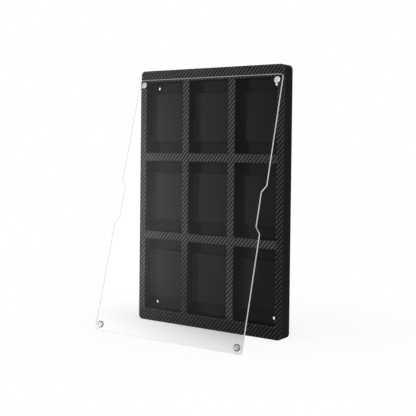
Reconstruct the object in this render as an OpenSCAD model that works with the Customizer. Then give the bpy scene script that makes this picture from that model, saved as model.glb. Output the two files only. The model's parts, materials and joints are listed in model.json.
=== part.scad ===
// Wall or shelf display case for nine cased trading cards, with a loose clear cover held by magnets.
// The case stands on its bottom edge, the cover leans against its face.
// +X is to the right, +Y goes from the face to the back, +Z is up.
// The origin is the centre of the case's bottom face.

/* [Card pockets] */
// Width of one card pocket
pocket_w = 90; // [84:1:110]
// Height of one card pocket
pocket_h = 139; // [136:1:160]
// Corner radius of a pocket
pocket_corner_r = 1.5; // [0.5:0.5:2.5]
// Width of the bar between two columns of pockets
column_bar = 15; // [13:0.5:30]
// Height of the bar between two rows of pockets
row_bar = 16; // [13:0.5:30]
// Width of the face left and right of the pockets
side_border = 14; // [13.5:0.5:30]
// Height of the face above and below the pockets
end_border = 23.5; // [19:0.5:50]

/* [Case] */
// Depth of the case from its face to its back
case_depth = 29; // [26:0.5:45]
// Radius of the case's four corners
case_corner_r = 9; // [5:0.5:12]
// Thickness of the outer wall
shell_wall = 3; // [2:0.25:4]
// Thickness of the moulded plate behind the face
deck_t = 2.5; // [2:0.25:4]
// Thickness of the wall round a pocket
pocket_wall = 2.5; // [1.5:0.25:3.5]
// Thickness of the ribs and webs inside the hollow bars and blocks
rib_t = 1.4; // [1:0.1:2.5]
// Thickness of the patterned skin on the face
face_skin_t = 1; // [0.6:0.1:1.5]
// Chamfer round the front edge of the skin
face_chamfer = 0.5; // [0.2:0.1:0.5]
// Thickness of the back panel
back_panel_t = 3; // [2:0.25:4]
// How far the back panel lies inside the back edge of the outer wall
back_recess = 4; // [0:0.5:6]

/* [Card rests] */
// Height of the block that a card lies against
rest_h = 95.5; // [80:0.5:110]
// How far the block stands out from the back panel
rest_t = 5; // [4:0.5:8]
// Wall thickness of the block, which is hollow behind
rest_wall = 2; // [1.5:0.25:3]
// Radius of the block's upper and lower front edges
rest_edge_r = 1.2; // [0.5:0.1:1.5]

/* [Wall holes] */
// Diameter of a hole for a wall screw
wall_hole_d = 6; // [4:0.5:8]
// Distance of a wall hole from the outer side of its pocket
wall_hole_inset = 15; // [8:0.5:30]

/* [Back screws] */
// Diameter of a screw's head
screw_head_d = 5.4; // [4.5:0.1:7]
// Height of the head's cone
screw_head_h = 1.5; // [1:0.1:1.8]
// Length of the two crossed slots in a screw's head
screw_slot_l = 3.2; // [2:0.1:4]
// Width of a slot
screw_slot_w = 0.8; // [0.5:0.1:1.2]
// Depth of a slot
screw_slot_depth = 0.7; // [0.3:0.1:0.9]
// Core diameter of a screw's thread
screw_core_d = 2.2; // [1.8:0.1:3]
// Length of a screw under its head
screw_length = 12; // [8:0.5:16]
// Wall thickness of the boss round a screw
screw_boss_wall = 2.2; // [1.5:0.1:3]

/* [Magnets] */
// Diameter of a magnet in the case
case_magnet_d = 12; // [8:0.5:13]
// Thickness of a magnet in the case
case_magnet_t = 3; // [2:0.5:6]
// Diameter of a magnet in the cover
cover_magnet_d = 12; // [8:0.5:16]
// How far a cover magnet stands out of the sheet on each side
cover_magnet_proud = 0.5; // [0.3:0.1:1.5]
// Chamfer round the rim of a magnet
magnet_chamfer = 0.3; // [0.1:0.1:0.3]
// Distance of a magnet's centre from the cover's edges
magnet_inset = 11; // [10:0.5:12]
// Wall thickness round a case magnet's seat
seat_wall = 2.2; // [1.5:0.1:3]

/* [Cover] */
// Thickness of the clear sheet
cover_t = 3; // [2:0.5:5]
// How much smaller than the face the sheet is on every side
cover_margin = 1; // [0.5:0.5:3]
// Corner radius of the sheet
cover_corner_r = 6; // [3:0.5:10]
// Length of the finger notch along the sheet's edge
notch_outer = 85; // [60:1:120]
// Length of the bottom of the finger notch
notch_inner = 62; // [30:1:80]
// Depth of the finger notch
notch_depth = 9; // [5:0.5:14]
// Radius of the notch's two inner corners
notch_r = 3; // [1:0.5:5]
// Angle at which the cover leans against the face
cover_lean = 15; // [10:0.5:25]

/* [Clearances] */
// Gap between the case's face and the magnets of the closed cover
cover_gap = 0.5; // [0.4:0.1:1]
// Gap between the case's face and the top edge of the leaning cover
lean_gap = 0.8; // [0.8:0.1:1.5]
// Gap round a magnet in its seat
magnet_gap = 0.05; // [0.02:0.01:0.2]
// Gap between the back panel and the outer wall
panel_gap = 0.2; // [0.1:0.05:0.5]
// Gap between a card rest and the sides of its pocket
rest_gap = 0.25; // [0.1:0.05:0.5]
// Gap between a screw and the parts round it
screw_gap = 0.1; // [0.05:0.05:0.2]

/* [Hidden] */
$fn = 48;
// Extra length of a cutting body past the face that it opens
over = 1;
// How far a rib or web runs into the wall that it joins
root = 0.8;
columns = 3;
rows = 3;
left = -1;
right = 1;
bottom = -1;
top = 1;

pitch_x = pocket_w + column_bar;
pitch_z = pocket_h + row_bar;
case_w = columns * pitch_x - column_bar + 2 * side_border;
case_h = rows * pitch_z - row_bar + 2 * end_border;

// Planes across the depth, from the face to the back
face_y = -case_depth / 2;
skin_back = face_y + face_skin_t;
deck_back = skin_back + deck_t;
case_back = case_depth / 2;
panel_back = case_back - back_recess;
panel_front = panel_back - back_panel_t;
rest_front = panel_front - rest_t;

// Height of the open well above and below a card rest, and of its middle from the pocket's middle
well_h = (pocket_h - rest_h) / 2;
well_z = (rest_h + well_h) / 2;

cover_w = case_w - 2 * cover_margin;
cover_h = case_h - 2 * cover_margin;
cover_back = face_y - cover_gap - cover_magnet_proud;
cover_front = cover_back - cover_t;
magnet_x = cover_w / 2 - magnet_inset;
magnet_z = cover_h / 2 - magnet_inset;

// Depth of the blind seat of a case magnet, and the boss that carries it behind the deck
seat_depth = case_magnet_t + magnet_gap;
seat_d = case_magnet_d + 2 * magnet_gap;

// The leaning cover touches the floor with its lower back edge and reaches the face with its top.
// One turn about this line carries it from there to its closed place on the face.
lean_foot_y = face_y - lean_gap - cover_h * sin(cover_lean);
foot_move_y = lean_foot_y - cover_back;
foot_move_z = -cover_margin;
pole_arm = 2 * tan(cover_lean / 2);
pole_y = (lean_foot_y + cover_back) / 2 + foot_move_z / pole_arm;
pole_z = cover_margin / 2 - foot_move_y / pole_arm;

// Middle of pocket column c and row r, counted from the left and from the top
function pocket_x(c) = (c - (columns - 1) / 2) * pitch_x;
function pocket_z(r) = case_h / 2 + ((rows - 1) / 2 - r) * pitch_z;

// Low and high side of the hollow between pocket columns i - 1 and i, with a border at each end
function hollow_x0(i) = i == 0 ? shell_wall - case_w / 2 : pocket_x(i - 1) + pocket_w / 2 + pocket_wall;
function hollow_x1(i) = i == columns ? case_w / 2 - shell_wall : pocket_x(i) - pocket_w / 2 - pocket_wall;
// The same between pocket rows, counted from the top
function hollow_z0(j) = j == rows ? shell_wall : pocket_z(j) + pocket_h / 2 + pocket_wall;
function hollow_z1(j) = j == 0 ? case_h - shell_wall : pocket_z(j - 1) - pocket_h / 2 - pocket_wall;
function hollow_x(i) = (hollow_x0(i) + hollow_x1(i)) / 2;
function hollow_z(j) = (hollow_z0(j) + hollow_z1(j)) / 2;
function is_corner(i, j) = (i == 0 || i == columns) && (j == 0 || j == rows);

// Extrudes a flat outline, drawn in X and Z, from one depth to another
module slab(front, back) {
    translate([0, back, 0]) rotate([90, 0, 0]) linear_extrude(height = back - front) children();
}

module rounded_rect(w, h, r) {
    square([w - 2 * r, h], center = true);
    square([w, h - 2 * r], center = true);
    for (x = [r - w / 2, w / 2 - r], y = [r - h / 2, h / 2 - r]) translate([x, y]) circle(r);
}

// Outline of the case, drawn smaller by inset on every side
module case_outline(inset) {
    translate([0, case_h / 2])
        rounded_rect(case_w - 2 * inset, case_h - 2 * inset, max(case_corner_r - inset, pocket_corner_r));
}

// Outlines of all the pockets, drawn larger by grow on every side
module pocket_outlines(grow) {
    for (c = [0 : columns - 1], r = [0 : rows - 1])
        translate([pocket_x(c), pocket_z(r)])
            rounded_rect(pocket_w + 2 * grow, pocket_h + 2 * grow, pocket_corner_r + grow);
}

// Places its children at every screw, on the lines of the bars and in the borders
module at_screws() {
    for (i = [0 : columns], j = [0 : rows])
        if (!is_corner(i, j)) translate([hollow_x(i), 0, hollow_z(j)]) children();
}

// Places its children at the four case magnets
module at_case_magnets() {
    for (side = [left, right], end = [bottom, top])
        translate([side * magnet_x, 0, case_h / 2 + end * magnet_z]) children();
}

// Round body along the depth, from one depth to another
module rod(d, front, back) {
    translate([0, back, 0]) rotate([90, 0, 0]) cylinder(d = d, h = back - front);
}

// Thin crosswise ribs at the middle of every pocket side, which keep the hollow bars stiff
module cross_ribs() {
    depth = panel_front - deck_back;
    for (i = [0 : columns], r = [0 : rows - 1])
        translate([hollow_x0(i) - root, deck_back - root, pocket_z(r) - rib_t / 2])
            cube([hollow_x1(i) - hollow_x0(i) + 2 * root, depth / 2, rib_t]);
    for (j = [0 : rows], c = [0 : columns - 1])
        translate([pocket_x(c) - rib_t / 2, deck_back - root, hollow_z0(j) - root])
            cube([rib_t, depth / 2, hollow_z1(j) - hollow_z0(j) + 2 * root]);
}

// Boss for each screw, with webs that run slantwise into the pocket corners and the outer wall
module screw_bosses() {
    boss_d = screw_core_d + 2 * (screw_gap + screw_boss_wall);
    web_l = max(column_bar, row_bar, side_border, end_border - boss_d) + 2 * pocket_corner_r;
    at_screws() {
        rod(boss_d, deck_back - root, panel_front);
        for (turn = [45, -45])
            rotate([0, turn, 0])
                translate([-web_l / 2, deck_back - root, -rib_t / 2])
                    cube([web_l, (panel_front - deck_back) / 2, rib_t]);
    }
}

module magnet_bosses() {
    at_case_magnets() rod(seat_d + 2 * seat_wall, deck_back - root, skin_back + seat_depth + seat_wall);
}

// Moulded front of the case: outer wall, deck and pocket walls in one, hollow and open at the back
module front_shell() {
    color("#232325") difference() {
        union() {
            difference() {
                slab(skin_back, case_back) case_outline(0);
                slab(deck_back, case_back + over) difference() {
                    case_outline(shell_wall);
                    pocket_outlines(pocket_wall);
                }
            }
            intersection() {
                slab(skin_back, panel_front) case_outline(shell_wall / 2);
                union() {
                    cross_ribs();
                    screw_bosses();
                    magnet_bosses();
                }
            }
        }
        slab(skin_back - over, case_back + over) pocket_outlines(0);
        slab(panel_front, case_back + over) case_outline(shell_wall);
        at_screws() rod(screw_core_d + 2 * screw_gap, panel_back - screw_head_h - screw_length - over, panel_back);
        at_case_magnets() rod(seat_d, skin_back - over, skin_back + seat_depth);
    }
}

// Flat panel that closes the back and is the floor of every pocket
module back_panel() {
    color("#1d1d1f") difference() {
        slab(panel_front, panel_back) case_outline(shell_wall + panel_gap);
        for (side = [left, right], end = [bottom, top])
            translate([
                side * (pocket_x(columns - 1) + pocket_w / 2 - wall_hole_inset), 0,
                case_h / 2 + end * (pitch_z * (rows - 1) / 2 + well_z)
            ]) rod(wall_hole_d, panel_front - over, panel_back + over);
        at_screws() {
            rod(screw_core_d + 4 * screw_gap, panel_front - over, panel_back + over);
            screw_head(screw_gap);
        }
    }
}

// Cone of a screw head, level with the panel's back, drawn larger by grow all round
module screw_head(grow) {
    translate([0, panel_back + grow, 0])
        rotate([90, 0, 0])
            cylinder(d1 = screw_head_d + 4 * grow, d2 = screw_core_d + 2 * grow, h = screw_head_h + grow);
}

// The screws that hold the back panel, as one group
module back_screws() {
    color("#8a8c90") at_screws() difference() {
        union() {
            screw_head(0);
            rod(screw_core_d, panel_back - screw_head_h - screw_length, panel_back - screw_head_h / 2);
        }
        translate([0, panel_back, 0]) {
            cube([screw_slot_l, 2 * screw_slot_depth, screw_slot_w], center = true);
            cube([screw_slot_w, 2 * screw_slot_depth, screw_slot_l], center = true);
        }
    }
}

// Thin lattice with a woven look that covers the whole face
module face_skin() {
    color("#303033") difference() {
        hull() {
            slab(face_y + face_chamfer, skin_back) case_outline(0);
            slab(face_y, skin_back) case_outline(face_chamfer);
        }
        slab(face_y - over, skin_back + over) pocket_outlines(0);
    }
}

// Outer form of a card rest, with rounded upper and lower front edges
module rest_block(rest_w) {
    translate([0, panel_front, 0])
        rotate([90, 0, 90])
            linear_extrude(height = rest_w, center = true) {
                translate([-rest_t, rest_edge_r - rest_h / 2]) square([rest_t, rest_h - 2 * rest_edge_r]);
                translate([rest_edge_r - rest_t, -rest_h / 2]) square([rest_t - rest_edge_r, rest_h]);
                for (end = [bottom, top])
                    translate([rest_edge_r - rest_t, end * (rest_h / 2 - rest_edge_r)]) circle(rest_edge_r);
            }
}

// Moulded block on the panel in the middle of a pocket, hollow behind with one rib each way.
// A well stays open above and below it: pressing a card into one tips its other end out.
module card_rest(r, c) {
    rest_w = pocket_w - 2 * rest_gap;
    cell_w = (rest_w - rib_t) / 2 - rest_wall;
    cell_h = (rest_h - rib_t) / 2 - rest_wall;
    color("#2a2a2c") translate([pocket_x(c), 0, pocket_z(r)]) difference() {
        rest_block(rest_w);
        for (x = [rib_t / 2, -rib_t / 2 - cell_w], z = [rib_t / 2, -rib_t / 2 - cell_h])
            translate([x, rest_front + rest_wall, z]) cube([cell_w, rest_t, cell_h]);
    }
}

// Disc magnet with a chamfered rim, from one depth to another
module magnet(d, front, back) {
    rod(d, front + magnet_chamfer, back - magnet_chamfer);
    translate([0, front + magnet_chamfer, 0])
        rotate([90, 0, 0]) cylinder(d1 = d, d2 = d - 2 * magnet_chamfer, h = magnet_chamfer);
    translate([0, back, 0])
        rotate([90, 0, 0]) cylinder(d1 = d - 2 * magnet_chamfer, d2 = d, h = magnet_chamfer);
}

module case_magnet(side, end) {
    color("#b9bcc1")
        translate([side * magnet_x, 0, case_h / 2 + end * magnet_z])
            magnet(case_magnet_d, skin_back, skin_back + case_magnet_t);
}

// Turns the closed cover out to its leaning place
module leaning() {
    translate([0, pole_y, pole_z])
        rotate([-cover_lean, 0, 0])
            translate([0, -pole_y, -pole_z])
                children();
}

// Finger notch in one long edge of the sheet, wider at the edge than at its bottom
module finger_notch(side) {
    slope = (notch_outer - notch_inner) / (2 * notch_depth);
    mouth = notch_outer / 2 + slope * over;
    inner_x = cover_w / 2 - notch_depth;
    edge_x = cover_w / 2 + over;
    round_z = notch_inner / 2 - notch_r * tan((90 - atan(slope)) / 2);
    translate([0, case_h / 2]) mirror([side == left ? 1 : 0, 0]) {
        polygon([[inner_x + notch_r, -round_z], [edge_x, -mouth], [edge_x, mouth], [inner_x + notch_r, round_z]]);
        translate([inner_x, -round_z]) square([2 * notch_r, 2 * round_z]);
        for (end = [bottom, top]) translate([inner_x + notch_r, end * round_z]) circle(notch_r);
    }
}

// Clear sheet that closes all the pockets
module cover_sheet() {
    color("#dfe9ee", 0.35) leaning() difference() {
        slab(cover_front, cover_back) difference() {
            translate([0, case_h / 2]) rounded_rect(cover_w, cover_h, cover_corner_r);
            finger_notch(left);
            finger_notch(right);
        }
        at_case_magnets() rod(cover_magnet_d + 2 * magnet_gap, cover_front - over, cover_back + over);
    }
}

module cover_magnet(side, end) {
    color("#c9ccd1") leaning()
        translate([side * magnet_x, 0, case_h / 2 + end * magnet_z])
            magnet(cover_magnet_d, cover_front - cover_magnet_proud, cover_back + cover_magnet_proud);
}

front_shell();
back_panel();
face_skin();
back_screws();
card_rest(0, 0);  // card_rest_r1c1
card_rest(0, 1);  // card_rest_r1c2
card_rest(0, 2);  // card_rest_r1c3
card_rest(1, 0);  // card_rest_r2c1
card_rest(1, 1);  // card_rest_r2c2
card_rest(1, 2);  // card_rest_r2c3
card_rest(2, 0);  // card_rest_r3c1
card_rest(2, 1);  // card_rest_r3c2
card_rest(2, 2);  // card_rest_r3c3
case_magnet(left, top);  // case_magnet_top_left
case_magnet(right, top);  // case_magnet_top_right
case_magnet(left, bottom);  // case_magnet_bottom_left
case_magnet(right, bottom);  // case_magnet_bottom_right
cover_sheet();
cover_magnet(left, top);  // cover_magnet_top_left
cover_magnet(right, top);  // cover_magnet_top_right
cover_magnet(left, bottom);  // cover_magnet_bottom_left
cover_magnet(right, bottom);  // cover_magnet_bottom_right
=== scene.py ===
"""Finishes and fine shapes of a display case for nine cased cards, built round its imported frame."""

import json
import math

import bmesh
import bpy
from bpy.props import FloatProperty, FloatVectorProperty, IntProperty, PointerProperty
from mathutils import Matrix, Vector


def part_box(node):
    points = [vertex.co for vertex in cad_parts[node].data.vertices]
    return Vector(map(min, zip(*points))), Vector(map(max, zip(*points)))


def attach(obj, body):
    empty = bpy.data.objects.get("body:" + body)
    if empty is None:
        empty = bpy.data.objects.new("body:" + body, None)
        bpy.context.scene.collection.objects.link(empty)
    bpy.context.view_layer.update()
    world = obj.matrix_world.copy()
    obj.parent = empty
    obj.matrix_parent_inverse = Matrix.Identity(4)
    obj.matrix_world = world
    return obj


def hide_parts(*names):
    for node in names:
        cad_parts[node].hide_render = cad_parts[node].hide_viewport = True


bl_info = {
    "name": "Card display case",
    "version": (1, 0, 0),
    "blender": (4, 5, 0),
    "location": "View3D > Sidebar > Display case",
    "description": "Woven skin, moulded body, clear cover and studio for a card display case",
    "category": "Add Mesh",
}

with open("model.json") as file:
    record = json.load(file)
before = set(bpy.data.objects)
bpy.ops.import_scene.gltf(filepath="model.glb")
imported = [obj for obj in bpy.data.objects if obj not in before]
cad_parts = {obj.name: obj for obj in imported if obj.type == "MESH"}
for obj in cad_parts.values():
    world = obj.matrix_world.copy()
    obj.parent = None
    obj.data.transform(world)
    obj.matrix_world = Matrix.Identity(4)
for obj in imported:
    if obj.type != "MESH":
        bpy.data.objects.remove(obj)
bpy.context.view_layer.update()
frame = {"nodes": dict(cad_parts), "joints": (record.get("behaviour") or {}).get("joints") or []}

MM = 0.001
ROWS = (1, 2, 3)
COLUMNS = (1, 2, 3)
REST_NAMES = [f"card_rest_r{row}c{column}" for row in ROWS for column in COLUMNS]
CORNERS = ("top_left", "top_right", "bottom_left", "bottom_right")
COVER_MAGNET_NAMES = [f"cover_magnet_{corner}" for corner in CORNERS]
CASE_MAGNET_NAMES = [f"case_magnet_{corner}" for corner in CORNERS]

# One turn about the joint's line carries the closed cover to where it leans on the case
JOINT = frame["joints"][0]
HINGE_LINE = Vector(JOINT["pos_m"])
LEAN = math.radians(JOINT["range_deg"][1])
LEANING = (
    Matrix.Translation(HINGE_LINE)
    @ Matrix.Rotation(-LEAN, 4, "X")
    @ Matrix.Translation(-HINGE_LINE)
)


def closed_box(node):
    """Lowest and highest corner of a cover node when the cover lies on the case."""
    closing = LEANING.inverted()
    points = [closing @ vertex.co for vertex in frame["nodes"][node].data.vertices]
    low = Vector(min(p[axis] for p in points) for axis in range(3))
    high = Vector(max(p[axis] for p in points) for axis in range(3))
    return low, high


def middle(low_high):
    """Middle of a box that is given by its lowest and highest corner."""
    return (low_high[0] + low_high[1]) / 2


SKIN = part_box("face_skin")
SHEET = closed_box("cover_sheet")
MAGNET_BOXES = [closed_box(name) for name in COVER_MAGNET_NAMES]
FACE_MIDDLE = middle(SKIN)
SKIN_HALF_X, SKIN_HALF_Z = SKIN[1].x - FACE_MIDDLE.x, SKIN[1].z - FACE_MIDDLE.z
REST_MIDDLES = [middle(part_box(name)) for name in REST_NAMES]
PITCH_X = REST_MIDDLES[1].x - REST_MIDDLES[0].x
PITCH_Z = REST_MIDDLES[0].z - REST_MIDDLES[3].z


def pocket_half_size():
    """Half width and half height of a pocket, from the skin's own vertices round the middle pocket."""
    centre = REST_MIDDLES[4]
    around = [vertex.co - centre for vertex in frame["nodes"]["face_skin"].data.vertices]
    near = [p for p in around if abs(p.x) < PITCH_X / 2 and abs(p.z) < PITCH_Z / 2]
    return max(abs(p.x) for p in near), max(abs(p.z) for p in near)


POCKET_HALF_X, POCKET_HALF_Z = pocket_half_size()


class WovenSkinSettings(bpy.types.PropertyGroup):
    tow_width: FloatProperty(
        name="Tow width", description="Width of an upright tow of the weave",
        default=2.0 * MM, min=0.8 * MM, max=5 * MM, unit="LENGTH")
    tow_height: FloatProperty(
        name="Tow height", description="Width of a level tow of the weave",
        default=2.25 * MM, min=0.8 * MM, max=5 * MM, unit="LENGTH")
    rise: FloatProperty(
        name="Rise", description="How far a tow stands out of the resin at its crest",
        default=0.22 * MM, min=0.05 * MM, max=0.4 * MM, unit="LENGTH")
    edge_band: FloatProperty(
        name="Edge band", description="Plain resin between the weave and every edge",
        default=0.5 * MM, min=0.2 * MM, max=3 * MM, unit="LENGTH")
    corner_radius: FloatProperty(
        name="Corner radius", description="Radius of the case's four corners",
        default=9 * MM, min=2 * MM, max=15 * MM, unit="LENGTH")
    pocket_radius: FloatProperty(
        name="Pocket radius", description="Radius of a pocket's corners",
        default=1.5 * MM, min=0.5 * MM, max=4 * MM, unit="LENGTH")
    bevel: FloatProperty(
        name="Bevel", description="Rounding of the skin's edges",
        default=0.35 * MM, min=0.05 * MM, max=0.5 * MM, unit="LENGTH")
    # Upright tows: lighter than the level ones partly by pattern, partly by painted sheen
    weave_and_sheen_tow: FloatVectorProperty(
        name="Light tow", description="Colour of the tows that lie upright",
        default=(0.016, 0.0158, 0.0162), subtype="COLOR", min=0, max=1)
    dark_tow: FloatVectorProperty(
        name="Dark tow", description="Colour of the tows that lie level",
        default=(0.003, 0.003, 0.0032), subtype="COLOR", min=0, max=1)
    resin: FloatVectorProperty(
        name="Resin", description="Colour of the resin between the tows",
        default=(0.003, 0.003, 0.0032), subtype="COLOR", min=0, max=1)
    # Painted highlight on real rounded edges: coloured much lighter than the resin
    edge: FloatVectorProperty(
        name="Edge", description="Colour of the skin's rounded edges",
        default=(0.03, 0.0295, 0.029), subtype="COLOR", min=0, max=1)


class MouldedBodySettings(bpy.types.PropertyGroup):
    shell_colour: FloatVectorProperty(
        name="Shell", description="Colour of the moulded front shell",
        default=(0.0110, 0.0105, 0.0102), subtype="COLOR", min=0, max=1)
    panel_colour: FloatVectorProperty(
        name="Panel", description="Colour of the back panel",
        default=(0.0072, 0.0072, 0.0072), subtype="COLOR", min=0, max=1)
    rest_colour: FloatVectorProperty(
        name="Card rests", description="Colour of the card rests",
        default=(0.0070, 0.0070, 0.0070), subtype="COLOR", min=0, max=1)


class ClearCoverSettings(bpy.types.PropertyGroup):
    corner_radius: FloatProperty(
        name="Corner radius", description="Radius of the sheet's corners",
        default=6 * MM, min=1 * MM, max=15 * MM, unit="LENGTH")
    notch_outer: FloatProperty(
        name="Notch mouth", description="Length of a finger notch along the sheet's edge",
        default=85 * MM, min=40 * MM, max=150 * MM, unit="LENGTH")
    notch_inner: FloatProperty(
        name="Notch bottom", description="Length of the bottom of a finger notch",
        default=62 * MM, min=20 * MM, max=120 * MM, unit="LENGTH")
    notch_depth: FloatProperty(
        name="Notch depth", description="Depth of a finger notch",
        default=9 * MM, min=3 * MM, max=20 * MM, unit="LENGTH")
    notch_radius: FloatProperty(
        name="Notch radius", description="Radius of the notch's inner corners",
        default=3 * MM, min=0.5 * MM, max=6 * MM, unit="LENGTH")
    seat_gap: FloatProperty(
        name="Seat gap", description="Gap round a magnet in the sheet",
        default=0.05 * MM, min=0.01 * MM, max=0.3 * MM, unit="LENGTH")
    bevel: FloatProperty(
        name="Bevel", description="Rounding of the sheet's edges",
        default=0.3 * MM, min=0.05 * MM, max=1 * MM, unit="LENGTH")
    magnet_rounding: FloatProperty(
        name="Magnet rounding", description="Rounding of a magnet's rim",
        default=1.2 * MM, min=0.1 * MM, max=1.2 * MM, unit="LENGTH")


class StudioSettings(bpy.types.PropertyGroup):
    focal_px: FloatProperty(
        name="Focal length", description="Focal length in pixels of the square image",
        default=824.919, min=100, max=3000)
    image_px: IntProperty(
        name="Image side", description="Side of the square image in pixels",
        default=416, min=16, max=4096)
    axis_row_px: FloatProperty(
        name="Axis row", description="Pixel row that the camera's axis meets",
        default=167.097, min=0, max=416)
    yaw: FloatProperty(
        name="Yaw", description="How far the camera stands to the right of the case's own axis",
        default=math.radians(34.782), subtype="ANGLE")
    pitch: FloatProperty(
        name="Pitch", description="How far the camera looks down",
        default=math.radians(1.143), subtype="ANGLE")
    roll: FloatProperty(
        name="Roll", description="Turn of the camera about its axis",
        default=math.radians(0.671), subtype="ANGLE")
    distance: FloatProperty(
        name="Distance", description="Distance from the camera to its target",
        default=1562.344 * MM, min=0.1, max=10, unit="LENGTH")
    target_x: FloatProperty(
        name="Target across", description="Place of the target to the right of the case's middle",
        default=0.351 * MM, unit="LENGTH")
    target_z: FloatProperty(
        name="Target up", description="Height of the target above the case's middle",
        default=60.233 * MM, unit="LENGTH")
    key_power: FloatProperty(
        name="Key power", description="Power of the large lamp in front", default=28.0, min=0, max=500)
    side_power: FloatProperty(
        name="Side power", description="Power of the lamp at the left", default=36.0, min=0, max=500)
    top_power: FloatProperty(
        name="Top power", description="Power of the lamp above", default=6.0, min=0, max=500)
    room_level: FloatProperty(
        name="Room level", description="Strength of the room's own light", default=0.25, min=0, max=2)
    floor_radius: FloatProperty(
        name="Floor radius", description="Radius of the round paper floor",
        default=1.4, min=0.5, max=5, unit="LENGTH")


def add_object(name, data):
    """A new object in the scene, with a mesh, a lamp or a camera as its data."""
    thing = bpy.data.objects.new(name, data)
    bpy.context.scene.collection.objects.link(thing)
    return thing


def dress(piece, *materials):
    """Puts the materials into the piece's slots, in the order of its faces' material indices."""
    slots = piece.data.materials
    while len(slots) < len(materials):
        slots.append(None)
    for index, material in enumerate(materials):
        slots[index] = material


def mesh_from(bm, name):
    """Turns a bmesh into a mesh and frees it."""
    mesh = bpy.data.meshes.new(name)
    bm.to_mesh(mesh)
    bm.free()
    return mesh


# Node helpers

def put(tree, kind, inputs=None, **values):
    """Adds a node, sets its properties, and feeds the inputs that are given by name or index."""
    node = tree.nodes.new(kind)
    for key, value in values.items():
        setattr(node, key, value)
    for key, value in (inputs or {}).items():
        feed(tree, node.inputs[key], value)
    return node


def feed(tree, socket, value):
    """Links a socket to value where that is an output, and sets it where it is plain."""
    if isinstance(value, bpy.types.NodeSocket):
        tree.links.new(value, socket)
    else:
        socket.default_value = value


def calc(tree, kind, operation, *values):
    """Adds a Math or Vector Math node of the shader or geometry kind and returns its first output."""
    return put(tree, kind, dict(enumerate(values)), operation=operation).outputs[0]


def number(tree, operation, *values):
    return calc(tree, "ShaderNodeMath", operation, *values)


def times(tree, first, second):
    return number(tree, "MULTIPLY", first, second)


def new_material(name, **constants):
    """A material with one Principled shader whose named inputs are set on its own sockets."""
    material = bpy.data.materials.new(name)
    material.use_nodes = True
    tree = material.node_tree
    shader = tree.nodes["Principled BSDF"]
    for key, value in constants.items():
        shader.inputs[key.replace("_", " ")].default_value = value
    return material, tree, shader


def object_noise(tree, scale, stretch=(1, 1, 1), detail=2.0, roughness=0.5):
    """Noise on Object coordinates, whose features are about 1/scale metres across."""
    place = put(tree, "ShaderNodeTexCoord").outputs["Object"]
    stretched = put(tree, "ShaderNodeMapping", {"Vector": place, "Scale": stretch}).outputs["Vector"]
    return put(tree, "ShaderNodeTexNoise", {
        "Vector": stretched, "Scale": scale, "Detail": detail, "Roughness": roughness}).outputs["Fac"]


def object_place(tree):
    """The X, Y and Z outputs of a point's Object coordinates."""
    place = put(tree, "ShaderNodeTexCoord").outputs["Object"]
    return put(tree, "ShaderNodeSeparateXYZ", {0: place}).outputs


def spread(tree, value, low, high, start=0.3, end=0.7):
    """Maps a value from start to end onto low to high, and holds it beyond both ends."""
    return put(tree, "ShaderNodeMapRange", {
        "Value": value, "From Min": start, "From Max": end, "To Min": low, "To Max": high,
    }).outputs["Result"]


def where(tree, flag, value, otherwise):
    """One value for the rays whose flag is 1, and the other for those whose flag is 0."""
    return spread(tree, flag, otherwise, value, 0.0, 1.0)


def shade(tree, colour, factor):
    """The colour with its brightness times factor."""
    inputs = {0: colour[:3], "Scale": factor}
    return put(tree, "ShaderNodeVectorMath", inputs, operation="SCALE").outputs["Vector"]


def bump(tree, height, strength, distance):
    return put(tree, "ShaderNodeBump", {
        "Height": height, "Strength": strength, "Distance": distance}).outputs["Normal"]


def paint(tree, shader, colour, tone, roughness, normal):
    """Feeds a shader its colour times tone, its roughness and its normal."""
    feed(tree, shader.inputs["Base Color"], shade(tree, colour, tone))
    feed(tree, shader.inputs["Roughness"], roughness)
    feed(tree, shader.inputs["Normal"], normal)


def mix_shaders(tree, factor, first, second):
    """The first shader where factor is 0 and the second where it is 1."""
    return put(tree, "ShaderNodeMixShader", {"Fac": factor, 1: first, 2: second}).outputs["Shader"]


# Materials

# Painted light: the rests, the panel and the tows are painted lighter over this stretch,
# from its right end to its left
PAINTED_LIGHT_X = (-120 * MM, 120 * MM)
TOW_PAINTED_LEFT_LIGHT = 2.8
# Painted shade: the cover's magnets are painted darker low down and grow brighter over this
# stretch, from its low end to its high end
PAINTED_SHADE_Z = (50 * MM, 450 * MM)
# Tows that face down are tilted by up to this much: all over the outer rails, and by a share of it
# round a line at the lower left
TILT = 0.35
RAIL_BLEND = 3 * MM
LOW_LEFT_SHARE = 0.6
LOW_LEFT_X = -60 * MM
LOW_LEFT_REACH = (50 * MM, 80 * MM)
LOW_LEFT_Z = (100 * MM, 200 * MM)


def painted_light_leftward(tree, painted_left_light):
    """Painted light: 1 at the case's right side, growing to the given brightness at its left side."""
    return spread(tree, object_place(tree)["X"], painted_left_light, 1.0, *PAINTED_LIGHT_X)


def moulded_plastic(name, colour, roughness, grain_size, grain_depth, painted_left_light=1.0):
    """Matte black plastic with a spark-eroded grain, a little uneven in tone and gloss.

    Its tone carries painted light: it grows lighter by the given factor towards the case's left side.
    """
    material, tree, shader = new_material(name, Specular_IOR_Level=0.08)
    grain = object_noise(tree, 1 / grain_size, detail=4.0, roughness=0.6)
    cloud = object_noise(tree, 1 / (38 * MM))
    uneven = times(tree, spread(tree, cloud, 0.86, 1.14), spread(tree, grain, 0.88, 1.12))
    # Painted light, lighter towards the case's left side
    tone = times(tree, uneven, painted_light_leftward(tree, painted_left_light))
    uneven_gloss = spread(tree, cloud, roughness - 0.04, roughness + 0.05)
    paint(tree, shader, colour, tone, uneven_gloss, bump(tree, grain, 0.5, grain_depth))
    return material


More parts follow.
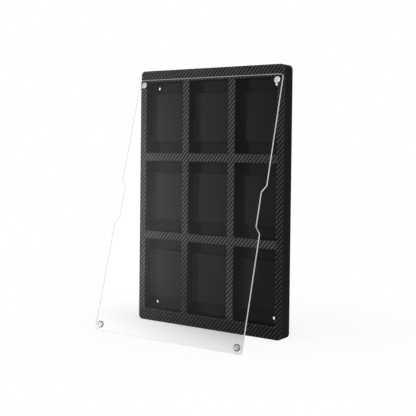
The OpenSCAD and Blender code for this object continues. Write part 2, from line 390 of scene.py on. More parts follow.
def faces_down(tree):
    """1 on the face's top, right and bottom rails, less on the bars at the lower left, else 0."""
    place = object_place(tree)
    half_x = PITCH_X * (len(COLUMNS) - 1) / 2 + POCKET_HALF_X
    half_z = PITCH_Z * (len(ROWS) - 1) / 2 + POCKET_HALF_Z
    past_right = number(tree, "SUBTRACT", place["X"], FACE_MIDDLE.x + half_x)
    height = number(tree, "ABSOLUTE", number(tree, "SUBTRACT", place["Z"], FACE_MIDDLE.z))
    past_pockets = number(tree, "MAXIMUM", past_right, number(tree, "SUBTRACT", height, half_z))
    rails = spread(tree, past_pockets, 0.0, 1.0, 0.0, RAIL_BLEND)
    from_line = number(tree, "ABSOLUTE", number(tree, "SUBTRACT", place["X"], LOW_LEFT_X))
    near_line = spread(tree, from_line, 1.0, 0.0, *LOW_LEFT_REACH)
    low = spread(tree, place["Z"], LOW_LEFT_SHARE, 0.0, *LOW_LEFT_Z)
    return number(tree, "MAXIMUM", rails, times(tree, low, near_line))


def tow_finish(name, colour, along, roughness, shine):
    """Glossy fibre bundle under clear resin, whose fine filaments run along the tow.

    Painted light makes it lighter to the left, and it is tilted down where faces_down says so.
    """
    material, tree, shader = new_material(name, Specular_IOR_Level=shine)
    fine, coarse = 1 / (0.12 * MM), 1 / (3.5 * MM)
    stretch = (coarse, 1, fine) if along == "X" else (fine, 1, coarse)
    filaments = object_noise(tree, 1.0, stretch=stretch)
    cloud = object_noise(tree, 1 / (30 * MM))
    uneven = times(tree, spread(tree, filaments, 0.72, 1.28), spread(tree, cloud, 0.88, 1.12))
    # Painted light, lighter towards the case's left side
    tone = times(tree, uneven, painted_light_leftward(tree, TOW_PAINTED_LEFT_LIGHT))
    uneven_gloss = spread(tree, filaments, roughness - 0.05, roughness + 0.07)
    tilt = put(tree, "ShaderNodeCombineXYZ", {"Z": times(tree, faces_down(tree), -TILT)})
    grooved = bump(tree, filaments, 0.35, 0.03 * MM)
    tilted = calc(tree, "ShaderNodeVectorMath", "ADD", grooved, tilt.outputs["Vector"])
    normal = calc(tree, "ShaderNodeVectorMath", "NORMALIZE", tilted)
    paint(tree, shader, colour, tone, uneven_gloss, normal)
    return material


def resin_finish(name, colour):
    """Smooth dark resin with a faint ripple."""
    material, tree, shader = new_material(name, Specular_IOR_Level=0.1)
    ripple = object_noise(tree, 1 / (1.2 * MM))
    tone, uneven_gloss = spread(tree, ripple, 0.85, 1.15), spread(tree, ripple, 0.32, 0.42)
    paint(tree, shader, colour, tone, uneven_gloss, bump(tree, ripple, 0.2, 0.02 * MM))
    return material


def metal_finish(name, colour, roughness, scratch_size, painted_low_shade=1.0):
    """Plated metal with faint stains and wiping scratches; painted shade lowers its tone low down."""
    material, tree, shader = new_material(name, Metallic=1.0)
    scratches = object_noise(tree, 1 / scratch_size, stretch=(1, 1, 5), detail=3.0)
    cloud = object_noise(tree, 1 / (3 * MM))
    stains = spread(tree, cloud, 0.75, 1.1, 0.4, 0.6)
    # Painted shade, darker low down
    fade = spread(tree, object_place(tree)["Z"], painted_low_shade, 1.0, *PAINTED_SHADE_Z)
    tone = times(tree, stains, fade)
    uneven_gloss = spread(tree, scratches, roughness - 0.05, roughness + 0.08)
    paint(tree, shader, colour, tone, uneven_gloss, bump(tree, scratches, 0.12, 0.01 * MM))
    return material


def lets_lamps_through(tree, surface, share):
    """Ends a material of the sheet so that a share of some rays passes it straight, without bending.

    They are the rays to a lamp, diffuse rays, and mirrored rays that meet the sheet from outside.
    """
    clear = put(tree, "ShaderNodeBsdfTransparent", {"Color": (share, share, share, 1)})
    path = put(tree, "ShaderNodeLightPath").outputs
    mirrored = number(tree, "SUBTRACT", path["Is Glossy Ray"], path["Is Transmission Ray"])
    within = number(tree, "FLOORED_MODULO", path["Transmission Depth"], 2.0)
    outside = times(tree, mirrored, number(tree, "SUBTRACT", 1.0, within))
    bounced = number(tree, "MAXIMUM", path["Is Diffuse Ray"], outside)
    straight = number(tree, "MAXIMUM", path["Is Shadow Ray"], bounced)
    feed(tree, tree.nodes["Material Output"].inputs["Surface"],
         mix_shaders(tree, straight, surface, clear.outputs["BSDF"]))


def clear_acrylic():
    """Clear acrylic with a faint tint."""
    material, tree, shader = new_material(
        "clear_acrylic", Roughness=0.0, IOR=1.49, Transmission_Weight=1.0)
    tint = spread(tree, object_noise(tree, 1 / (60 * MM)), 0.992, 1.0)
    feed(tree, shader.inputs["Base Color"], shade(tree, (0.988, 0.993, 0.996), tint))
    lets_lamps_through(tree, shader.outputs["BSDF"], share=0.94)
    return material


def sawn_edge(name, colour):
    """Fine-sawn edge of the clear sheet, which gathers light: pale by its frosting and by painted light.
    """
    material, tree, shader = new_material(name, IOR=1.49, Specular_IOR_Level=0.5)
    saw_marks = object_noise(tree, 1 / (0.9 * MM), stretch=(1, 0.2, 1))
    tone, uneven_gloss = spread(tree, saw_marks, 0.94, 1.04), spread(tree, saw_marks, 0.3, 0.45)
    paint(tree, shader, colour, tone, uneven_gloss, bump(tree, saw_marks, 0.3, 0.03 * MM))
    glowing = put(tree, "ShaderNodeBsdfTranslucent", {"Color": shade(tree, colour, tone)})
    both = mix_shaders(tree, 0.5, shader.outputs["BSDF"], glowing.outputs["BSDF"])
    lets_lamps_through(tree, both, share=0.85)
    return material


# Flat outlines, as lists of points whose left side is the material

def arc(centre, radius, start, end, steps):
    """Points of an arc, with both ends, from the start angle to the end angle in degrees."""
    angles = [math.radians(start + (end - start) * i / steps) for i in range(steps + 1)]
    return [(centre[0] + radius * math.cos(a), centre[1] + radius * math.sin(a)) for a in angles]


def rounded_outline(centre, half_x, half_z, radius, steps=10):
    """Rounded rectangle, anticlockwise."""
    points = []
    for start, side_x, side_z in ((0, 1, 1), (90, -1, 1), (180, -1, -1), (270, 1, -1)):
        corner = (centre[0] + side_x * (half_x - radius), centre[1] + side_z * (half_z - radius))
        points += arc(corner, radius, start, start + 90, steps)
    return points


def inset(points, amount):
    """The closed outline moved to its left side by amount."""
    moved = []
    for index, point in enumerate(points):
        following = points[(index + 1) % len(points)]
        before, here, after = Vector(points[index - 1]), Vector(point), Vector(following)
        arriving, leaving = (here - before).normalized(), (after - here).normalized()
        normal = Vector((-(arriving + leaving).y, (arriving + leaving).x)).normalized()
        stretch = normal.dot(Vector((-arriving.y, arriving.x)))
        moved.append(tuple(here + normal * (amount / stretch)))
    return moved


def plate(name, outlines, front, back, bevel):
    """A flat plate with holes and rounded edges. Outlines are in X and Z, and front and back are Y.

    Its first material is for the two flat faces, the second for the outer edge, the third for the holes.
    """
    bm = bmesh.new()
    steps = 3
    angles = [math.pi / 2 * i / steps for i in range(steps + 1)]
    rings = [(bevel * (1 - math.sin(a)), front + bevel * (1 - math.cos(a))) for a in angles]
    rings += [(amount, front + back - depth) for amount, depth in reversed(rings)]
    caps = ([], [])
    for order, outline in enumerate(outlines):
        loops = []
        for amount, depth in rings:
            loops.append([bm.verts.new((x, depth, z)) for x, z in inset(outline, amount)])
        count = len(outline)
        for near, far in zip(loops, loops[1:]):
            for i in range(count):
                j = (i + 1) % count
                face = bm.faces.new((near[i], near[j], far[j], far[i]))
                face.material_index = 1 if order == 0 else 2
                face.smooth = True
        for cap, loop in zip(caps, (loops[0], loops[-1])):
            cap += [bm.edges.get((loop[i], loop[(i + 1) % count])) for i in range(count)]
    for cap in caps:
        bmesh.ops.triangle_fill(bm, edges=cap, use_beauty=True)
    bmesh.ops.recalc_face_normals(bm, faces=bm.faces)
    return mesh_from(bm, name)


# Geometry Nodes trees

def new_tree(name, inputs):
    """An empty tree with the given inputs, and its own input and output sockets."""
    tree = bpy.data.node_groups.new(name, "GeometryNodeTree")
    tree.interface.new_socket("Geometry", in_out="OUTPUT", socket_type="NodeSocketGeometry")
    for socket, kind in inputs.items():
        tree.interface.new_socket(socket, in_out="INPUT", socket_type=f"NodeSocket{kind}")
    return tree, put(tree, "NodeGroupInput").outputs, put(tree, "NodeGroupOutput").inputs


def lay_pieces(tree, points, given, result):
    """Ends a tree: its input Piece on every point, Realize Instances and Set Material."""
    piece = put(tree, "GeometryNodeObjectInfo", {"Object": given["Piece"]}).outputs["Geometry"]
    laid = put(tree, "GeometryNodeInstanceOnPoints", {"Points": points, "Instance": piece}).outputs[0]
    solid = put(tree, "GeometryNodeRealizeInstances", {"Geometry": laid}).outputs[0]
    coloured = put(tree, "GeometryNodeSetMaterial", {"Geometry": solid, "Material": given["Material"]})
    feed(tree, result["Geometry"], coloured.outputs["Geometry"])
    return tree


# Woven skin

# Cells after which the twill repeats along a tow
TWILL_REPEAT = 4
# Points of the mesh nearer than this are one point
WELD = 1e-7


def skin_outlines(settings):
    """The skin's outer outline and its nine pocket outlines."""
    centre = (FACE_MIDDLE.x, FACE_MIDDLE.z)
    outer = rounded_outline(centre, SKIN_HALF_X, SKIN_HALF_Z, settings.corner_radius)
    pockets = [
        rounded_outline((m.x, m.z), POCKET_HALF_X, POCKET_HALF_Z, settings.pocket_radius, steps=5)[::-1]
        for m in REST_MIDDLES
    ]
    return [outer] + pockets


def tow_pad(name, width, length, rise, sink):
    """One tow where it lies on top: a long low pad with a rounded crest that dips at both ends."""
    across = [(-1, 0), (-0.66, 0.72), (0, 1), (0.66, 0.72), (1, 0)]
    along = [(-1, 0), (-0.84, 0.74), (0, 1), (0.84, 0.74), (1, 0)]
    bm = bmesh.new()
    grid = []
    for v, end_share in along:
        row = []
        for u, crest_share in across:
            share = crest_share * end_share
            row.append(bm.verts.new((u * width / 2, v * length / 2, rise * share if share else -sink)))
        grid.append(row)
    for low, high in zip(grid, grid[1:]):
        for i in range(len(across) - 1):
            bm.faces.new((low[i], low[i + 1], high[i + 1], high[i])).smooth = True
    rim = grid[0] + [row[-1] for row in grid[1:]] + grid[-1][-2::-1] + [row[0] for row in grid[-2:0:-1]]
    bm.faces.new(rim[::-1])
    return add_object(name, mesh_from(bm, name))


def weave_tree():
    """Geometry Nodes that lay tow pads over the face in a two by two twill, but not over the pockets."""
    sizes = [f"{kind} {way}" for kind in ("Cell", "Pocket", "Pitch") for way in ("Across", "Along")]
    tree, given, result = new_tree("twill_weave", {
        **dict.fromkeys(("Columns", "Rows", "Step"), "Int"),
        **dict.fromkeys(sizes, "Float"),
        "Piece": "Object",
        "Material": "Material",
    })

    columns, rows, across = given["Columns"], given["Rows"], given["Cell Across"]
    repeat = times(tree, given["Cell Along"], TWILL_REPEAT)
    grid = put(tree, "GeometryNodeMeshGrid", {
        "Vertices X": columns,
        "Vertices Y": rows,
        "Size X": times(tree, number(tree, "SUBTRACT", columns, 1.0), across),
        "Size Y": times(tree, number(tree, "SUBTRACT", rows, 1.0), repeat),
    })

    position = put(tree, "GeometryNodeInputPosition").outputs[0]
    place = put(tree, "ShaderNodeSeparateXYZ", {0: position}).outputs
    half_cells = number(tree, "DIVIDE", place["X"], across)
    column = number(tree, "ROUND", number(tree, "SUBTRACT", half_cells, 0.5))
    steps = times(tree, column, given["Step"])
    stepped = number(tree, "FLOORED_MODULO", steps, TWILL_REPEAT)
    shift = times(tree, number(tree, "ADD", stepped, 1.0), given["Cell Along"])
    offset = put(tree, "ShaderNodeCombineXYZ", {"Y": shift}).outputs[0]
    moved = put(tree, "GeometryNodeSetPosition", {"Geometry": grid.outputs["Mesh"], "Offset": offset})

    # Half a pad is half a cell across and one cell along; a pad wholly over a pocket is left out
    in_pocket = 1.0
    for axis, way, overlap in (("X", "Across", 0.5), ("Y", "Along", 1.0)):
        half_pitch = times(tree, given[f"Pitch {way}"], 0.5)
        low = times(tree, half_pitch, -1.0)
        wrapped = number(tree, "WRAP", place[axis], half_pitch, low)
        reach = times(tree, given[f"Cell {way}"], overlap)
        bare = number(tree, "SUBTRACT", given[f"Pocket {way}"], reach)
        in_span = number(tree, "LESS_THAN", number(tree, "ABSOLUTE", wrapped), bare)
        span = times(tree, given[f"Pitch {way}"], len(COLUMNS) / 2)
        in_array = number(tree, "LESS_THAN", number(tree, "ABSOLUTE", place[axis]), span)
        in_pocket = times(tree, in_pocket, times(tree, in_span, in_array))
    kept = put(tree, "GeometryNodeDeleteGeometry", {
        "Geometry": moved.outputs["Geometry"], "Selection": in_pocket}, domain="POINT")
    return lay_pieces(tree, kept.outputs["Geometry"], given, result)


def grown(name, tree, values):
    """Runs a tree with the given inputs and returns its result as a plain mesh."""
    carrier = add_object(f"{name}_carrier", bpy.data.meshes.new(f"{name}_carrier"))
    modifier = carrier.modifiers.new(name, "NODES")
    modifier.node_group = tree
    sockets = {s.name: s.identifier for s in tree.interface.items_tree if s.in_out == "INPUT"}
    for key, value in values.items():
        modifier[sockets[key]] = value
    graph = bpy.context.evaluated_depsgraph_get()
    mesh = bpy.data.meshes.new_from_object(carrier.evaluated_get(graph), depsgraph=graph)
    mesh.name = name
    carrier.modifiers.remove(modifier)
    bpy.data.objects.remove(carrier)
    return mesh


def cut_along(bm, point, direction, region):
    """Cuts the faces inside region, a box in X and Z, square to direction at point."""
    low_x, high_x, low_z, high_z = region
    vertices = [v for v in bm.verts if low_x < v.co.x < high_x and low_z < v.co.z < high_z]
    faces = {face for vertex in vertices for face in vertex.link_faces}
    if faces:
        edges = {edge for face in faces for edge in face.edges}
        corners = {vertex for face in faces for vertex in face.verts}
        bmesh.ops.bisect_plane(
            bm, geom=[*faces, *edges, *corners], dist=WELD, plane_co=point, plane_no=direction)


def face_facets(settings):
    """The woven field's sides and corner arcs, as planes of (centre, outward normal, radius)."""
    band = settings.edge_band
    radius = settings.corner_radius - band
    half_x, half_z = SKIN_HALF_X - band, SKIN_HALF_Z - band
    steps = 6
    facets = []
    for quarter, (side_x, side_z) in enumerate(((1, 1), (-1, 1), (-1, -1), (1, -1))):
        corner = FACE_MIDDLE + Vector((side_x * (half_x - radius), 0, side_z * (half_z - radius)))
        for step in range(steps + 1):
            angle = math.radians(90 * (quarter + step / steps))
            facets.append((corner, Vector((math.cos(angle), 0, math.sin(angle))), radius))
    return facets


def trim_to_face(mesh, settings, reach):
    """Cuts the laid tows off at the pockets' edges and at the rounded outline, and closes the cuts."""
    bm = bmesh.new()
    bm.from_mesh(mesh)
    band = settings.edge_band
    half_x, half_z = POCKET_HALF_X + band, POCKET_HALF_Z + band
    for m in REST_MIDDLES:
        for side in (-1, 1):
            x, z = m.x + side * half_x, m.z + side * half_z
            across = (x - reach, x + reach, m.z - half_z - reach, m.z + half_z + reach)
            cut_along(bm, (x, 0, 0), (1, 0, 0), across)
            upward = (m.x - half_x - reach, m.x + half_x + reach, z - reach, z + reach)
            cut_along(bm, (0, 0, z), (0, 0, 1), upward)
    facets = face_facets(settings)
    near_edge_x = SKIN_HALF_X - settings.corner_radius - reach
    near_edge_z = SKIN_HALF_Z - settings.corner_radius - reach
    straight, whole_side = 0.999, 1.0
    for corner, outward, radius in facets:
        size_x = whole_side if abs(outward.z) > straight else radius + reach
        size_z = whole_side if abs(outward.x) > straight else radius + reach
        region = (corner.x - size_x, corner.x + size_x, corner.z - size_z, corner.z + size_z)
        cut_along(bm, corner + outward * radius, outward, region)
    extra = []
    for face in bm.faces:
        here = face.calc_center_median()
        x, z = here.x - FACE_MIDDLE.x, here.z - FACE_MIDDLE.z
        here.y = FACE_MIDDLE.y
        if abs(x) > near_edge_x or abs(z) > near_edge_z:
            outside = any((here - corner).dot(outward) > radius for corner, outward, radius in facets)
        else:
            outside = any(
                abs(here.x - m.x) < half_x and abs(here.z - m.z) < half_z for m in REST_MIDDLES)
        if outside:
            extra.append(face)
    bmesh.ops.delete(bm, geom=extra, context="FACES")
    bmesh.ops.holes_fill(bm, edges=[e for e in bm.edges if e.is_boundary], sides=0)
    bmesh.ops.dissolve_degenerate(bm, dist=WELD, edges=bm.edges)
    bmesh.ops.recalc_face_normals(bm, faces=bm.faces)
    bm.to_mesh(mesh)
    bm.free()


def woven_tows(name, settings, upright, material, tree):
    """All the tows of one direction, as one piece."""
    cell = (settings.tow_width, settings.tow_height)
    half = (SKIN_HALF_X, SKIN_HALF_Z)
    sizes = {
        "Cell": cell,
        "Pocket": (POCKET_HALF_X + settings.edge_band, POCKET_HALF_Z + settings.edge_band),
        "Pitch": (PITCH_X, PITCH_Z),
    }
    across, along = (0, 1) if upright else (1, 0)
    gap_between_tows, sink = 0.08 * MM, 0.05 * MM
    pad = tow_pad(f"{name}_pad", cell[across] - gap_between_tows, 2 * cell[along], settings.rise, sink)
    values = {
        "Columns": 2 * math.ceil(half[across] / cell[across]),
        "Rows": 2 * math.ceil(half[along] / (TWILL_REPEAT * cell[along])) + 1,
        "Step": 1 if upright else -1,
        "Piece": pad,
        "Material": material,
    }
    for kind, size in sizes.items():
        values[f"{kind} Across"], values[f"{kind} Along"] = size[across], size[along]
    mesh = grown(name, tree, values)
    bpy.data.objects.remove(pad)
    if not upright:
        mesh.transform(Matrix.Rotation(-math.pi / 2, 4, "Z"))
    mesh.transform(Matrix.Rotation(math.pi / 2, 4, "X"))
    mesh.transform(Matrix.Translation((FACE_MIDDLE.x, SKIN[0].y + settings.rise, FACE_MIDDLE.z)))
    longest_face = 2.5 * max(cell)
    trim_to_face(mesh, settings, longest_face)
    return add_object(name, mesh)


class CASE_OT_woven_skin(bpy.types.Operator):
    """Resin lattice with the upright and the level tows of its twill weave"""

    bl_idname = "case.woven_skin"
    bl_label = "Woven skin"

    def execute(self, context):
        settings = context.scene.woven_skin
        resin = resin_finish("skin_resin", settings.resin)
        lattice = add_object("woven_skin_resin", plate(
            "woven_skin_resin", skin_outlines(settings),
            SKIN[0].y + settings.rise, SKIN[1].y, settings.bevel))
        # The rounded edges get a lighter resin colour: painted highlight over real rounding
        edge = resin_finish("skin_edge_painted_highlight", settings.edge)
        dress(lattice, resin, edge, edge)
        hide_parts("face_skin")
        tree = weave_tree()
        # The upright tows' lighter colour is partly pattern and partly painted sheen
        light = tow_finish("upright_tow", settings.weave_and_sheen_tow, "Z", roughness=0.31, shine=1.0)
        dark = tow_finish("level_tow", settings.dark_tow, "X", roughness=0.4, shine=0.1)
        upright = woven_tows("woven_skin_upright_tows", settings, True, light, tree)
        level = woven_tows("woven_skin_level_tows", settings, False, dark, tree)
        for piece in (lattice, upright, level):
            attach(piece, "case")
        return {"FINISHED"}


class CASE_OT_moulded_body(bpy.types.Operator):
    """Grained black plastic on the front shell, the back panel and the nine card rests"""

    bl_idname = "case.moulded_body"
    bl_label = "Moulded body"

    def execute(self, context):
        settings = context.scene.moulded_body
        nodes = frame["nodes"]
        dress(nodes["front_shell"], moulded_plastic(
            "shell_grain", settings.shell_colour, roughness=0.5,
            grain_size=0.5 * MM, grain_depth=0.05 * MM))
        # The panel and the rests carry painted light, lighter towards the case's left side
        dress(nodes["back_panel"], moulded_plastic(
            "panel_grain", settings.panel_colour, roughness=0.55,
            grain_size=0.7 * MM, grain_depth=0.06 * MM, painted_left_light=2.2))
        rest = moulded_plastic(
            "rest_grain", settings.rest_colour, roughness=0.5,
            grain_size=0.45 * MM, grain_depth=0.03 * MM, painted_left_light=3.0)
        for name in REST_NAMES:
            dress(nodes[name], rest)
        return {"FINISHED"}


class CASE_OT_metal_parts(bpy.types.Operator):
    """Zinc screws behind and nickel magnets under the skin"""

    bl_idname = "case.metal_parts"
    bl_label = "Screws and case magnets"

    def execute(self, context):
        nodes = frame["nodes"]
        zinc = metal_finish("black_zinc", (0.12, 0.12, 0.125), roughness=0.35, scratch_size=0.2 * MM)
        dress(nodes["back_screws"], zinc)
        nickel = metal_finish("seat_nickel", (0.7, 0.69, 0.67), roughness=0.25, scratch_size=0.3 * MM)
        for name in CASE_MAGNET_NAMES:
            dress(nodes[name], nickel)
        return {"FINISHED"}


# Clear cover

# Sides of a disc magnet and of its seat
ROUND_SIDES = 48


def sheet_outline(settings):
    """The sheet's outline with a finger notch in each long edge, anticlockwise."""
    centre = middle(SHEET)
    half_x, half_z = (SHEET[1].x - SHEET[0].x) / 2, (SHEET[1].z - SHEET[0].z) / 2
    slope = math.atan2((settings.notch_outer - settings.notch_inner) / 2, settings.notch_depth)
    turn = math.degrees(math.pi / 2 - slope)
    round_x = half_x - settings.notch_depth + settings.notch_radius
    round_z = settings.notch_inner / 2 - settings.notch_radius * math.tan((math.pi / 2 - slope) / 2)
    right = [(half_x, -settings.notch_outer / 2)]
    for start, end, side in ((180 + turn, 180, -1), (180, 180 - turn, 1)):
        right += arc((round_x, side * round_z), settings.notch_radius, start, end, steps=5)
    right.append((half_x, settings.notch_outer / 2))
    corners = rounded_outline((0, 0), half_x, half_z, settings.corner_radius, steps=8)
    half_way = len(corners) // 2
    left = [(-x, -z) for x, z in right]
    points = corners[:half_way] + left + corners[half_way:] + right
    return [(centre.x + x, centre.z + z) for x, z in points]


def magnet_disc(name, radius, thickness, rounding):
    """Disc magnet with a rounded rim, whose axis is Y. A flat ring inside the rim evens its shading."""
    half = thickness / 2
    profile = [(0.0, half), (radius - 2.2 * rounding, half)]
    profile += arc((radius - rounding, half - rounding), rounding, 90, 0, steps=5)
    profile += [(r, -y) for r, y in reversed(profile)]
    bm = bmesh.new()
    rings = []
    for r, y in profile:
        around = arc((0, 0), r, 0, 360, ROUND_SIDES)[:-1] if r else [(0, 0)]
        rings.append([bm.verts.new((x, y, z)) for x, z in around])
    for near, far in zip(rings, rings[1:]):
        for i in range(ROUND_SIDES):
            j = (i + 1) % ROUND_SIDES
            corners = [near[i % len(near)], near[j % len(near)], far[j % len(far)], far[i % len(far)]]
            bm.faces.new(list(dict.fromkeys(corners))).smooth = True
    bmesh.ops.recalc_face_normals(bm, faces=bm.faces)
    return add_object(name, mesh_from(bm, name))


def scatter_tree(name):
    """Geometry Nodes that put one object on each point of another object's mesh."""
    tree, given, result = new_tree(name, {"Places": "Object", "Piece": "Object", "Material": "Material"})
    places = put(tree, "GeometryNodeObjectInfo", {"Object": given["Places"]})
    return lay_pieces(tree, places.outputs["Geometry"], given, result)


def scattered(name, places, piece, material):
    """One mesh with a copy of piece at every place. The piece itself is used up."""
    marks = bpy.data.meshes.new(f"{name}_places")
    marks.from_pydata([tuple(p) for p in places], [], [])
    holder = add_object(f"{name}_places", marks)
    values = {"Places": holder, "Piece": piece, "Material": material}
    mesh = grown(name, scatter_tree(f"{name}_layout"), values)
    bpy.data.objects.remove(holder)
    bpy.data.objects.remove(piece)
    return mesh


class CASE_OT_clear_cover(bpy.types.Operator):
    """Clear sheet with sawn edges and finger notches, leaning on the case"""

    bl_idname = "case.clear_cover"
    bl_label = "Clear cover"

    def execute(self, context):
        settings = context.scene.clear_cover
        seats = []
        for box in MAGNET_BOXES:
            radius = (box[1].x - box[0].x) / 2 + settings.seat_gap
            seats.append(arc((middle(box).x, middle(box).z), radius, 360, 0, ROUND_SIDES)[:-1])
        outlines = [sheet_outline(settings)] + seats
        mesh = plate("clear_sheet", outlines, SHEET[0].y, SHEET[1].y, settings.bevel)
        mesh.transform(LEANING)
        sheet = add_object("clear_sheet", mesh)
        # The sawn edge's pale colour is partly frosting and partly painted light
        dress(sheet, clear_acrylic(), sawn_edge("sawn_edge", (0.88, 0.91, 0.95)),
              sawn_edge("drilled_seat", (0.16, 0.165, 0.17)))
        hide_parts("cover_sheet")
        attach(sheet, "cover")
        return {"FINISHED"}


class CASE_OT_cover_magnets(bpy.types.Operator):
    """Four nickel-plated disc magnets in the corners of the cover"""

    bl_idname = "case.cover_magnets"
    bl_label = "Cover magnets"

    def execute(self, context):
        settings = context.scene.clear_cover
        size = MAGNET_BOXES[0][1] - MAGNET_BOXES[0][0]
        disc = magnet_disc("cover_magnet_disc", size.x / 2, size.y, settings.magnet_rounding)
        # The lower magnets are painted darker: painted shade
        nickel = metal_finish(
            "bright_nickel", (0.93, 0.925, 0.93), roughness=0.42, scratch_size=0.35 * MM, painted_low_shade=0.32)
        mesh = scattered("cover_magnets", [middle(box) for box in MAGNET_BOXES], disc, nickel)
        mesh.transform(LEANING)
        magnets = add_object("cover_magnets", mesh)
        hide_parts(*COVER_MAGNET_NAMES)
        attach(magnets, "cover")
        return {"FINISHED"}


# Studio

# Paper and backdrop are this much brighter through the sheet, which takes some of their light
THROUGH_SHEET = 1.08
# What mirrors the room sees a glare round this axis, which grows to a limit over a dim base
GLARE_AXIS = (-0.80, 0.47, -0.287)
GLARE_SHARPNESS, GLARE_SHARE, GLARE_BASE, GLARE_LIMIT = 21.0, 0.085, 0.04, 0.46
# The glare is dimmed above the first of these heights and below the second, given as a direction's Z
DIM_CEILING, CEILING_Z = 0.53, (0.34, 0.44)
DIM_SKIRTING, SKIRTING_Z = 0.3, (0.19, 0.26)
# It also sees a pale wall behind the case, and a white ceiling overhead
BEHIND_AXIS, BEHIND_LEVEL, BEHIND_REACH = (0.2, 0.98, 0), 0.2, (0.3, 0.9)
OVERHEAD_Z = (0.5, 0.66)
# The paper's albedo as it is seen, and for the light that bounces off it
SEEN_ALBEDO, LIGHT_ALBEDO = 1.5, 0.55
# Seen directly, this share of the paper near a point is plain white, and all of it further away
PLAIN_SHARE = 0.82
SHADOW_MIDDLE, SHADOW_REACH = (90 * MM, 0, 0), (200 * MM, 500 * MM)
# Seen through the sheet, it turns from plain to shaded over this stretch of X, which slants in front
# of the case
PLAIN_UNDER_COVER, UNDER_COVER_X, UNDER_COVER_SLANT = 0.97, (-310 * MM, 30 * MM), 1.5


def soft_lamp(name, place, width, height, power):
    """A soft lamp that is aimed at the middle of the case's face."""
    lamp = bpy.data.lights.new(name, "AREA")
    lamp.shape = "RECTANGLE"
    lamp.size = width
    lamp.size_y = height
    lamp.energy = power
    holder = add_object(name, lamp)
    holder.location = place
    holder.rotation_mode = "QUATERNION"
    holder.rotation_quaternion = (FACE_MIDDLE - Vector(place)).to_track_quat("-Z", "Y")


def towards(tree, direction, axis):
    """How far a direction leans towards an axis."""
    lean = put(tree, "ShaderNodeVectorMath", {0: direction, 1: axis}, operation="DOT_PRODUCT")
    return lean.outputs["Value"]


def mirrored_room(tree):
    """Brightness of what a mirror sees: a glare at the left, a pale wall behind and a white ceiling."""
    direction = put(tree, "ShaderNodeTexCoord").outputs["Generated"]
    height = towards(tree, direction, (0, 0, 1))
    sharp = times(tree, towards(tree, direction, GLARE_AXIS), GLARE_SHARPNESS)
    glare = times(tree, number(tree, "EXPONENT", sharp), GLARE_SHARE)
    at_left = number(tree, "MINIMUM", number(tree, "ADD", glare, GLARE_BASE), GLARE_LIMIT)
    ceiling = spread(tree, height, 1.0, DIM_CEILING, *CEILING_Z)
    skirting = spread(tree, height, DIM_SKIRTING, 1.0, *SKIRTING_Z)
    window = times(tree, at_left, times(tree, ceiling, skirting))
    behind = spread(tree, towards(tree, direction, BEHIND_AXIS), 0.0, BEHIND_LEVEL, *BEHIND_REACH)
    overhead = spread(tree, height, 0.0, 1.0, *OVERHEAD_Z)
    return number(tree, "MAXIMUM", number(tree, "MAXIMUM", window, behind), overhead)


def studio_world(settings):
    """White backdrop for the camera, a dim even room as light, and mirrored_room for mirrors."""
    world = bpy.data.worlds.new("studio")
    bpy.context.scene.world = world
    world.use_nodes = True
    tree = world.node_tree
    tree.nodes.clear()
    path = put(tree, "ShaderNodeLightPath").outputs
    through = path["Is Transmission Ray"]
    room = where(tree, path["Is Glossy Ray"], mirrored_room(tree), settings.room_level)
    white = where(tree, through, THROUGH_SHEET, 1.0)
    backdrops = [
        put(tree, "ShaderNodeBackground", {"Color": (1, 1, 1, 1), "Strength": strength}).outputs[0]
        for strength in (room, white)
    ]
    unmirrored = number(tree, "LESS_THAN", path["Glossy Depth"], 0.5)
    seen = number(tree, "MAXIMUM", path["Is Camera Ray"], times(tree, through, unmirrored))
    put(tree, "ShaderNodeOutputWorld", {"Surface": mix_shaders(tree, seen, *backdrops)})


def pale_floor(name):
    """White paper floor that fades to plain white round the object.

    It stays shaded under the leaning cover, and mirrors and diffuse rays see plain, darker paper.
    """
    material, tree, shader = new_material(name, Roughness=0.9, Specular_IOR_Level=0.0)
    path = put(tree, "ShaderNodeLightPath").outputs
    through = path["Is Transmission Ray"]
    mirrored = number(tree, "SUBTRACT", path["Is Glossy Ray"], through)
    seen = number(tree, "SUBTRACT", 1.0, number(tree, "MAXIMUM", path["Is Diffuse Ray"], mirrored))
    albedo = where(tree, seen, SEEN_ALBEDO, LIGHT_ALBEDO)
    feed(tree, shader.inputs["Base Color"], shade(tree, (1, 1, 1), albedo))
    point = put(tree, "ShaderNodeTexCoord").outputs["Object"]
    far = put(tree, "ShaderNodeVectorMath", {0: point, 1: SHADOW_MIDDLE}, operation="DISTANCE")
    near = where(tree, through, 0.0, PLAIN_SHARE)
    away = spread(tree, far.outputs["Value"], near, 1.0, *SHADOW_REACH)
    place = object_place(tree)
    before = times(tree, number(tree, "MINIMUM", place["Y"], 0.0), UNDER_COVER_SLANT)
    slanting = number(tree, "ADD", place["X"], before)
    plain = spread(tree, slanting, PLAIN_UNDER_COVER, 0.0, *UNDER_COVER_X)
    fade = number(tree, "MAXIMUM", away, times(tree, plain, through))
    glow = put(tree, "ShaderNodeEmission", {"Strength": where(tree, through, THROUGH_SHEET, 1.0)})
    plain_share = times(tree, fade, seen)
    feed(tree, tree.nodes["Material Output"].inputs["Surface"],
         mix_shaders(tree, plain_share, shader.outputs["BSDF"], glow.outputs["Emission"]))
    return material


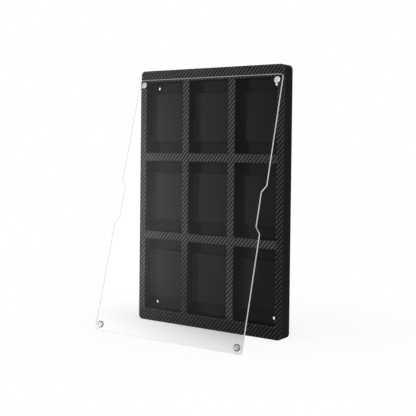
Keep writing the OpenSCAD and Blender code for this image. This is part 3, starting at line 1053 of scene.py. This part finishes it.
def product_camera(settings):
    """Camera at the photograph's angle, from its yaw, pitch and roll about the target."""
    target = Vector((settings.target_x, SKIN[0].y, FACE_MIDDLE.z + settings.target_z))
    back = Vector((
        math.sin(settings.yaw) * math.cos(settings.pitch),
        -math.cos(settings.yaw) * math.cos(settings.pitch),
        math.sin(settings.pitch)))
    right = (-back).cross(Vector((0, 0, 1))).normalized()
    up = right.cross(-back)
    rolled_right = right * math.cos(settings.roll) + up * math.sin(settings.roll)
    rolled_up = up * math.cos(settings.roll) - right * math.sin(settings.roll)
    data = bpy.data.cameras.new("product_camera")
    data.lens = settings.focal_px / settings.image_px * data.sensor_width
    data.shift_y = (settings.axis_row_px - settings.image_px / 2) / settings.image_px
    camera = add_object("product_camera", data)
    turn = Matrix((rolled_right, rolled_up, back)).transposed()
    camera.matrix_world = Matrix.Translation(target + back * settings.distance) @ turn.to_4x4()
    bpy.context.scene.camera = camera


class CASE_OT_studio(bpy.types.Operator):
    """White floor, soft lamps, room light and the camera"""

    bl_idname = "case.studio"
    bl_label = "Studio"

    def execute(self, context):
        settings = context.scene.studio
        context.scene.view_settings.view_transform = "Standard"
        product_camera(settings)
        studio_world(settings)
        bm = bmesh.new()
        bmesh.ops.create_circle(bm, cap_ends=True, segments=96, radius=settings.floor_radius)
        floor = add_object("paper_floor", mesh_from(bm, "paper_floor"))
        dress(floor, pale_floor("white_paper"))
        soft_lamp("key_lamp", (1.25, -1.75, 0.50), width=0.8, height=0.5, power=settings.key_power)
        soft_lamp("side_lamp", (-2.2, -2.5, 0.32), width=0.8, height=0.3, power=settings.side_power)
        soft_lamp("top_lamp", (0.1, -0.1, 1.7), width=0.9, height=0.9, power=settings.top_power)
        return {"FINISHED"}


class CASE_PT_panel(bpy.types.Panel):
    """Lists the operators that build the case"""

    bl_idname = "CASE_PT_panel"
    bl_label = "Display case"
    bl_space_type = "VIEW_3D"
    bl_region_type = "UI"
    bl_category = "Display case"

    def draw(self, context):
        for operator in OPERATORS:
            self.layout.operator(operator.bl_idname)


GROUPS = {
    "woven_skin": WovenSkinSettings,
    "moulded_body": MouldedBodySettings,
    "clear_cover": ClearCoverSettings,
    "studio": StudioSettings,
}
OPERATORS = (
    CASE_OT_studio,
    CASE_OT_woven_skin,
    CASE_OT_moulded_body,
    CASE_OT_metal_parts,
    CASE_OT_clear_cover,
    CASE_OT_cover_magnets,
)


def register():
    for cls in (*GROUPS.values(), *OPERATORS, CASE_PT_panel):
        bpy.utils.register_class(cls)
    for name, cls in GROUPS.items():
        setattr(bpy.types.Scene, name, PointerProperty(type=cls))


def unregister():
    for name in GROUPS:
        delattr(bpy.types.Scene, name)
    for cls in (*GROUPS.values(), *OPERATORS, CASE_PT_panel):
        bpy.utils.unregister_class(cls)


def main():
    register()
    bpy.ops.case.studio()
    bpy.ops.case.woven_skin()
    bpy.ops.case.moulded_body()
    bpy.ops.case.metal_parts()
    bpy.ops.case.clear_cover()
    bpy.ops.case.cover_magnets()


if __name__ == "__main__":
    main()
